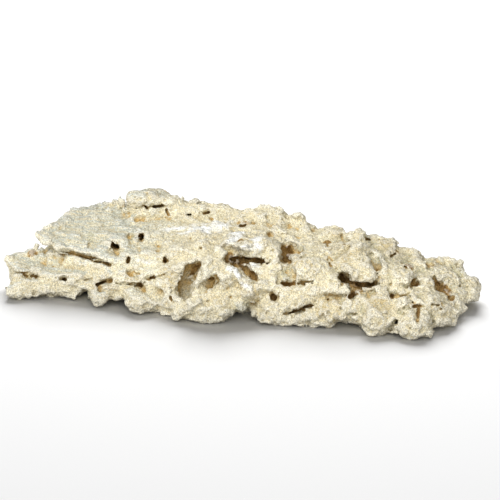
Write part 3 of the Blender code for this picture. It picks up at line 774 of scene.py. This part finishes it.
def lay_ridge(skin, proud, line, join):
    """Lays a ridge on the front."""
    part, legs = legs_near(skin, skin.field, line, proud)
    body = body_along(skin, part, legs, line, proud, bead)
    skin.field[part] = -smooth_most(-skin.field[part], -body, join)


def shape_front(skin):
    """Lays the ridges on the front and cuts its hollows."""
    for proud, line in RIDGES:
        lay_ridge(skin, proud, line, RIDGE_JOIN * PIXEL)
    whole = skin.field.copy()
    skin.stain = np.zeros(skin.shape, np.float32)
    for depth, line in HOLLOWS:
        part, legs = legs_near(skin, whole, line, depth)
        body = body_along(skin, part, legs, line, depth, tunnel)
        skin.field[part] = smooth_most(skin.field[part], -body, round_join(line) * PIXEL)
        if depth < THROUGH:
            # The hollow's wall gets its stain and painted shade, darker the deeper it lies.
            stain = np.maximum.reduce([stained(*leg) for leg in legs])
            stain = stain * min(depth / FULL_STAIN_AND_SHADE, 1)
            skin.stain[part] = np.maximum(skin.stain[part], stain)
    for proud, line in KNOBS:
        lay_ridge(skin, proud, line, round_join(line) * PIXEL)


def surface_nodes(skin):
    """The nodes beside the rock's skin, without those on the grid's edge."""
    return np.argwhere(np.abs(skin.field[1:-1, 1:-1, 1:-1]) < STEP / 2) + 1


def outward_at(skin, cell):
    """The direction out of the rock at a node near its skin."""
    slope = [
        skin.field[tuple(cell + step)] - skin.field[tuple(cell - step)]
        for step in np.eye(3, dtype=int)
    ]
    return np.array(slope) / max(np.linalg.norm(slope), 1e-9)


def bore_back(skin):
    """Sinks random bores into the sides that the front view hides."""
    away, (least_away, least_up) = np.array(AWAY), BORED_SIDES
    surface = surface_nodes(skin)
    chosen = surface[skin.rng.integers(0, len(surface), NODES_PER_BORE * BORES_TRIED)]
    facing = [(cell, outward_at(skin, cell)) for cell in chosen]
    facing = [(cell, out) for cell, out in facing if out @ away > least_away and out[2] > least_up]
    for cell, out in facing[:BORES_TRIED]:
        radius, depth = skin.rng.uniform(*BORE_RADII), skin.rng.uniform(*BORE_DEPTHS)
        inward = skin.rng.normal(0, BORE_LEAN, 3) - out
        inward /= np.linalg.norm(inward)
        mouth = skin.start + cell * STEP - inward * radius
        tip = mouth + inward * depth
        if sampled(skin.field, [(tip - skin.start) / STEP])[0] > -BORE_ROOM:
            continue
        part, places = block_around(skin, [mouth, tip], radius + CUT_ROOM)
        along = np.clip((places - mouth) @ inward, 0, depth)
        aside = np.linalg.norm(places - mouth - along[..., None] * inward, axis=-1)
        body = aside - radius * (1 - BORE_NARROWER * along / depth)
        body = body + skin.uneven[part] * PIXEL * BORE_UNEVEN
        skin.field[part] = smooth_most(skin.field[part], -body, PIXEL)
        # Stain and painted shade, darker towards the bore's inner end.
        stain = BORE_STAIN_AND_SHADE * along / depth * (aside < radius + BORE_STAIN_AND_SHADE_PAST)
        skin.stain[part] = np.maximum(skin.stain[part], stain)


def pit_skin(skin):
    """Cuts random round pits into every side."""
    surface = surface_nodes(skin)
    chosen = surface[skin.rng.integers(0, len(surface), PITS)]
    kept = skin.rng.uniform(0, 1, PITS)
    for cell, chance in zip(chosen, kept):
        if chance > np.interp(skin.start[0] + cell[0] * STEP, *PIT_CHANCE):
            continue
        radius = skin.rng.uniform(*PIT_RADII)
        outward = outward_at(skin, cell)
        middle = skin.start + cell * STEP - outward * radius * skin.rng.uniform(*PIT_SUNK)
        part, places = block_around(skin, [middle], radius + CUT_ROOM)
        body = np.linalg.norm(places - middle, axis=-1) - radius
        skin.field[part] = smooth_most(skin.field[part], -body, PIT_JOIN * PIXEL)


# Patches of white chalk, of ochre stain and of greenish grey painted shade on the front: where each
# lies on the frame, its half width and half height, in pixels, and its roll in degrees.
CHALK = [
    (174, 121, 12, 2.2, 6),
    (190, 118, 8, 1.6, 8),
    (207, 122, 14, 6.5, 12),
    (222, 125, 12, 4.5, 12),
    (237, 117, 8, 5, 0),
    (232, 110, 5, 3, 0),
    (256, 112, 5, 5, 0),
    (251, 104, 10, 3.5, -5),
    (236, 78, 5.5, 3.2, -42),
    (255, 84.5, 4.5, 3, 0),
    (246, 63.5, 5, 2.2, -20),
    (144, 88.5, 6, 2.0, -10),
]
OCHRE = [
    (214, 50, 8, 3.5, 0),
    (328, 44, 12, 13, 0),
    (234, 100, 10, 4, -20),
    (381, 45, 9, 6, 0),
    (389, 105, 9, 6, 0),
    (168, 66, 5, 8, 0),
    (300, 90, 7, 8, 0),
    (355, 70, 12, 2.5, -8),
    (345, 95, 10, 6, 0),
    (150, 155, 5, 3, 0),
    (236, 109, 9, 2.5, 0),
    (250, 107, 8, 4, 0),
    (256, 50, 4, 10, 0),
    (240, 62, 8, 4, -30),
    (33, 73, 12, 4, 0),
    (436, 45, 8, 3, 0),
    (436, 62, 10, 5, -50),
    (431, 85, 8, 3, 0),
    (118, 97, 3, 5, 0),
    (116, 98, 5, 5, 0),
    (112, 62, 14, 3, 0),
    (132, 70, 8, 5, 0),
    (340, 118, 6, 5, 0),
    (375, 70, 6, 3, 0),
    (403, 55, 9, 3, 0),
]
GREENISH_SHADE = [
    (243, 41, 9, 7, 0),
    (299, 102, 8, 4, -5),
    (351, 62, 6, 3, 0),
    (378, 88, 5, 8, 0),
    (288, 75, 6, 7, 0),
    (131, 111, 5, 4, 0),
    (459, 78, 6, 5, -40),
    (431, 86, 7, 3, 0),
    (449, 62, 9, 4, -50),
    (91, 112, 3, 6, 0),
]
# How far a patch reaches along the view, in pixels. It fades out at this share of its size, and
# the uneven waves make its edge ragged by this share of it.
PATCH_DEPTH = 14
PATCH_END = 1.6
PATCH_RAGGED = 0.35
# The sizes over which a point's share of stone around it is taken: the side of a block, in nodes of
# the grid, and the passes of blur over those blocks.
NARROW = (2, 6)
WIDE = (4, 14)


def share_of_stone(skin, block, times):
    """How much of the space around each block of nodes is stone."""
    stone = (skin.field < 0).astype(np.float32)
    whole = stone[tuple(slice(0, side // block * block) for side in stone.shape)]
    sides = [part for side in whole.shape for part in (side // block, block)]
    return blurred(whole.reshape(sides).mean(axis=(1, 3, 5)), times)


def patch_share(skin, points, patches, ragged):
    """How strongly the patches cover each point, from 0 to 1."""
    cover = np.zeros(len(points))
    for across, up, half_across, half_up, roll in patches:
        middle = face_at(skin, skin.field, across, up)
        if middle is None:
            continue
        away = (points - middle) / PIXEL
        x, y, z = away @ np.array(RIGHT), away @ np.array(UP), away @ np.array(AWAY)
        turn = math.radians(roll)
        along = (x * math.cos(turn) + y * math.sin(turn)) / half_across
        over = (y * math.cos(turn) - x * math.sin(turn)) / half_up
        reach = np.sqrt(along**2 + over**2 + (z / PATCH_DEPTH) ** 2) + ragged
        cover = np.maximum(cover, np.clip(PATCH_END - reach, 0, 1))
    return cover


def add_marks(skin, mesh):
    """Stores on the mesh its stain and painted shade, its patches of chalk, ochre and painted
    greenish shade, and how hollow it is, for the material.
    """
    points = read_points(mesh, "co").astype(float)
    nodes = (points - skin.start) / STEP
    ragged = PATCH_RAGGED * sampled(skin.uneven, nodes)
    marks = {
        "stain": sampled(skin.stain, nodes),
        "olive_shade": patch_share(skin, points, GREENISH_SHADE, ragged),
        "chalk": patch_share(skin, points, CHALK, ragged),
        "ochre": patch_share(skin, points, OCHRE, ragged),
    }
    for name, (block, times) in (("narrow", NARROW), ("wide", WIDE)):
        stone = share_of_stone(skin, block, times)
        marks[name] = sampled(stone, (nodes + 0.5) / block - 0.5)
    for name, values in marks.items():
        kept = mesh.attributes.new(name, "FLOAT", "POINT")
        kept.data.foreach_set("value", values.astype(np.float32))


def add_grain(skin, mesh):
    """Moves every point of the mesh a little along its normal, as grains of sand would."""
    points, facing = read_points(mesh, "co"), read_points(mesh, "normal")
    shift = skin.rng.normal(0, GRAIN, len(points)).clip(-2 * GRAIN, 2 * GRAIN)
    move_points(mesh, points + (facing * shift[:, None]).astype(np.float32))


def add_rock():
    """The rock's finished skin as a mesh object."""
    skin = Skin(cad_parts["reef_rock"])
    roughen(skin)
    skin.uneven = sum(shift * noise_field(skin, (wave,) * 3) for wave, shift in UNEVEN)
    shape_front(skin)
    bore_back(skin)
    pit_skin(skin)
    rough = mesh_of("rough_skin", *largest_body(*surface_of(skin.field, skin.start)))
    keep_in_box(rough.data, cad_box)
    rock = fewer_triangles(rough, "reef_rock_skin", FINAL_TRIANGLES)
    rock.data.validate()
    rock.data.polygons.foreach_set("use_smooth", [True] * len(rock.data.polygons))
    add_grain(skin, rock.data)
    keep_in_box(rock.data, cad_box)
    add_marks(skin, rock.data)
    rock.data.materials.clear()
    rock.data.materials.append(limestone())
    return rock


def shader_node(tree, kind, inputs=(), **settings):
    """A new shader node with those settings, and with values or links on its first inputs."""
    made = tree.nodes.new("ShaderNode" + kind)
    for name, value in settings.items():
        setattr(made, name, value)
    for socket, value in zip(made.inputs, inputs):
        if isinstance(value, bpy.types.NodeSocket):
            tree.links.new(value, socket)
        elif value is not None:
            socket.default_value = value
    return made


class Stone:
    """Short ways to write the rock's material."""

    def __init__(self, tree):
        self.tree = tree
        self.place = shader_node(tree, "TexCoord").outputs["Object"]

    def mark(self, name):
        """A number stored on the mesh."""
        return shader_node(self.tree, "Attribute", attribute_name=name).outputs["Fac"]

    def noise(self, scale, detail=3, roughness=0.6, stretch=(1, 1, 1)):
        """Noise with that many waves to the metre, about 0.5 on average."""
        place = shader_node(self.tree, "VectorMath", (self.place, stretch), operation="MULTIPLY")
        inputs = (place.outputs[0], None, scale, detail, roughness)
        return shader_node(self.tree, "TexNoise", inputs).outputs["Fac"]

    def cells(self, scale):
        """A node of round cells, that many to the metre."""
        return shader_node(self.tree, "TexVoronoi", (self.place, None, scale), feature="F1")

    def steps(self, value, low, high, start=0.0, end=1.0):
        """The value eased from start to end as it goes from low to high."""
        inputs = (value, low, high, start, end)
        made = shader_node(self.tree, "MapRange", inputs, interpolation_type="SMOOTHSTEP")
        return made.outputs["Result"]

    def math(self, operation, one, other):
        """A sum, product or the like of two numbers."""
        return shader_node(self.tree, "Math", (one, other), operation=operation).outputs[0]

    def mix(self, share, one, other, blend="MIX"):
        """Two colours mixed, with the second's share."""
        inputs = (share, None, None, None, None, None, one, other)
        made = shader_node(self.tree, "Mix", inputs, data_type="RGBA", blend_type=blend)
        return made.outputs[2]


# The limestone's colours, with a painted cool sky tint for its tops and painted olive and dark
# brown shades.
CREAM = (0.80, 0.72, 0.50, 1)
BEIGE = (0.70, 0.62, 0.42, 1)
COOL = (0.72, 0.74, 0.68, 1)
SKY_TINT_GREY = (0.54, 0.55, 0.46, 1)
OLIVE_SHADE = (0.50, 0.47, 0.31, 1)
BROWN = (0.55, 0.38, 0.15, 1)
DEEP_SHADE_BROWN = (0.26, 0.15, 0.045, 1)
OCHRE_STAIN = (0.57, 0.46, 0.24, 1)
CHALK_WHITE = (0.92, 0.92, 0.87, 1)


def limestone():
    """The rock's material: cream limestone, brown in its hollows from stain and painted shade, with
    painted shade and a painted cool sky tint, and chalky in patches.
    """
    material = bpy.data.materials.new("dry_reef_limestone")
    material.use_nodes = True
    tree = material.node_tree
    stone = Stone(tree)
    shader = tree.nodes["Principled BSDF"]
    shader.inputs["Roughness"].default_value = 0.95
    shader.inputs["Specular IOR Level"].default_value = 0.15
    sides = shader_node(tree, "SeparateXYZ", (stone.place,)).outputs
    facing = shader_node(tree, "NewGeometry").outputs["Normal"]
    level = shader_node(tree, "SeparateXYZ", (facing,)).outputs["Z"]
    narrow, wide = stone.mark("narrow"), stone.mark("wide")
    cloud = stone.noise(38, 4, 0.6)
    mottle = stone.noise(330, 3, 0.65)
    grain = stone.noise(1250, 2, 0.75)
    tint = stone.noise(950, 2, 0.75)
    streaks = stone.noise(330, 3, 0.6, (0.16, 1, 1))

    colour = stone.mix(stone.steps(cloud, 0.42, 0.62), CREAM, BEIGE)
    # Painted cool sky reflection: up-facing tops on the left turn blue-grey, in streaks.
    left = stone.steps(sides["X"], -0.03, -0.11)
    top = stone.math("MULTIPLY", stone.steps(level, 0.5, 0.85), left)
    sky_tint_on_tops = stone.math("MULTIPLY", top, stone.steps(streaks, 0.42, 0.56, 0.2, 1.0))
    colour = stone.mix(sky_tint_on_tops, colour, SKY_TINT_GREY)
    right = stone.steps(sides["X"], 0.03, 0.14)
    hollow = stone.math("MULTIPLY", stone.math("SUBTRACT", narrow, 0.5), 0.6)
    hollow = stone.math("ADD", wide, hollow)
    # Painted greenish shade: recesses, more so on the right, and the greenish patches turn olive.
    shaded = stone.steps(hollow, 0.50, 0.66)
    olive_shade = stone.math("MULTIPLY", shaded, stone.steps(right, 0, 1, 0.3, 1.0))
    olive_shade = stone.math("MAXIMUM", olive_shade, stone.math("MULTIPLY", stone.mark("olive_shade"), 0.85))
    colour = stone.mix(olive_shade, colour, OLIVE_SHADE)
    ochre = stone.math("MULTIPLY", stone.mark("ochre"), stone.steps(mottle, 0.35, 0.6, 0.2, 0.9))
    colour = stone.mix(ochre, colour, OCHRE_STAIN)
    colour = stone.mix(stone.steps(tint, 0.53, 0.66, 0, 0.55), colour, OCHRE_STAIN)
    colour = stone.mix(stone.steps(tint, 0.47, 0.34, 0, 0.7), colour, COOL)
    chalk = stone.math("MULTIPLY", stone.mark("chalk"), stone.steps(streaks, 0.22, 0.42))
    colour = stone.mix(chalk, colour, CHALK_WHITE)
    # Brown in recesses and on the hollows' walls: partly the stone's own stain, partly painted
    # shade.
    brown = stone.steps(right, 0, 1, 1.0, 0.7)
    brown = stone.math("MULTIPLY", stone.steps(hollow, 0.60, 0.84), brown)
    ragged = stone.math("MULTIPLY", stone.math("SUBTRACT", mottle, 0.5), 1.1)
    stain = stone.math("ADD", stone.mark("stain"), ragged)
    brown = stone.math("MAXIMUM", brown, stone.steps(stain, 0.35, 1.0, 0, 0.85))
    colour = stone.mix(brown, colour, BROWN)
    # Painted shade: dark brown deep inside the hollows and in the most enclosed places.
    dark = stone.steps(stain, 0.65, 1.35, 0, 0.85)
    dark = stone.math("MAXIMUM", stone.steps(hollow, 0.82, 1.0), dark)
    colour = stone.mix(dark, colour, DEEP_SHADE_BROWN)
    colour = stone.mix(stone.steps(narrow, 0.50, 0.36, 0, 0.3), colour, CHALK_WHITE)
    crumbs = stone.cells(480).outputs["Distance"]
    sand = stone.cells(1000).outputs["Distance"]
    pores = stone.cells(420).outputs
    pore = stone.steps(pores["Distance"], 0.30, 0.16)
    chance = shader_node(tree, "SeparateColor", (pores["Color"],)).outputs[0]
    pore = stone.math("MULTIPLY", pore, stone.steps(chance, 0.55, 0.75))
    colour = stone.mix(stone.math("MULTIPLY", pore, 0.6), colour, BROWN)
    speckle = stone.steps(grain, 0.36, 0.64, 0.60, 1.30)
    blotch = stone.steps(mottle, 0.35, 0.65, 0.94, 1.05)
    bright = stone.math("MULTIPLY", speckle, blotch)
    bright = stone.math("MULTIPLY", bright, stone.steps(crumbs, 0.1, 0.5, 0.88, 1.03))
    # Painted contact shade: the rock darkens towards its bottom, near the floor.
    bright = stone.math("MULTIPLY", bright, stone.steps(sides["Z"], 0.0, 0.034, 0.84, 1.0))
    scale = shader_node(tree, "CombineColor", (bright, bright, bright)).outputs[0]
    colour = stone.mix(1.0, colour, scale, "MULTIPLY")
    tree.links.new(colour, shader.inputs["Base Color"])

    height = stone.math("MULTIPLY", mottle, 0.0005)
    for relief, high in ((grain, 0.0005), (crumbs, 0.0007), (sand, 0.0003), (pore, -0.0004)):
        height = stone.math("ADD", height, stone.math("MULTIPLY", relief, high))
    bump = shader_node(tree, "Bump")
    bump.inputs["Strength"].default_value = 1.0
    bump.inputs["Distance"].default_value = 1.0
    tree.links.new(height, bump.inputs["Height"])
    tree.links.new(bump.outputs["Normal"], shader.inputs["Normal"])
    return material


def add_floor():
    """The pale floor."""
    mesh = bpy.data.meshes.new("floor")
    side = 6
    corners = [(-side, -side, 0), (side, -side, 0), (side, side, 0), (-side, side, 0)]
    mesh.from_pydata(corners, [], [(0, 1, 2, 3)])
    floor = bpy.data.objects.new("floor", mesh)
    bpy.context.scene.collection.objects.link(floor)
    material = bpy.data.materials.new("pale_floor")
    material.use_nodes = True
    shader = material.node_tree.nodes["Principled BSDF"]
    shader.inputs["Base Color"].default_value = (0.9, 0.9, 0.9, 1)
    shader.inputs["Roughness"].default_value = 0.9
    mesh.materials.append(material)
    return floor


# What the lights are aimed at.
LIT_PLACE = Vector((0, 0, 0.03))


def add_light(name, where, size, power, lit):
    """A square soft light, aimed at the rock, that shines on one thing alone."""
    data = bpy.data.lights.new(name, "AREA")
    data.size = size
    data.energy = power
    lamp = bpy.data.objects.new(name, data)
    aim = (LIT_PLACE - Vector(where)).to_track_quat("-Z", "Y")
    lamp.matrix_world = Matrix.Translation(where) @ aim.to_matrix().to_4x4()
    bpy.context.scene.collection.objects.link(lamp)
    group = bpy.data.collections.new(name + "_shines_on")
    group.objects.link(lit)
    lamp.light_linking.receiver_collection = group


def add_studio(rock):
    """The floor, the lights and the pale surroundings."""
    floor = add_floor()
    add_light("floor_light", (-0.3, 1.6, 1.6), 1.5, 77, floor)
    add_light("key_light", (-0.4, -1.2, 1.7), 1.2, 38, rock)
    add_light("fill_light", (0.3, -1.7, 0.8), 1.0, 13, rock)
    world = bpy.data.worlds.new("surroundings")
    world.use_nodes = True
    background = world.node_tree.nodes["Background"]
    background.inputs["Color"].default_value = (1, 1, 1, 1)
    background.inputs["Strength"].default_value = 0.30
    bpy.context.scene.world = world
    bpy.context.scene.view_settings.view_transform = "Standard"


add_camera()
rock = add_rock()
add_studio(rock)
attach(rock, "root")
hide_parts("reef_rock")
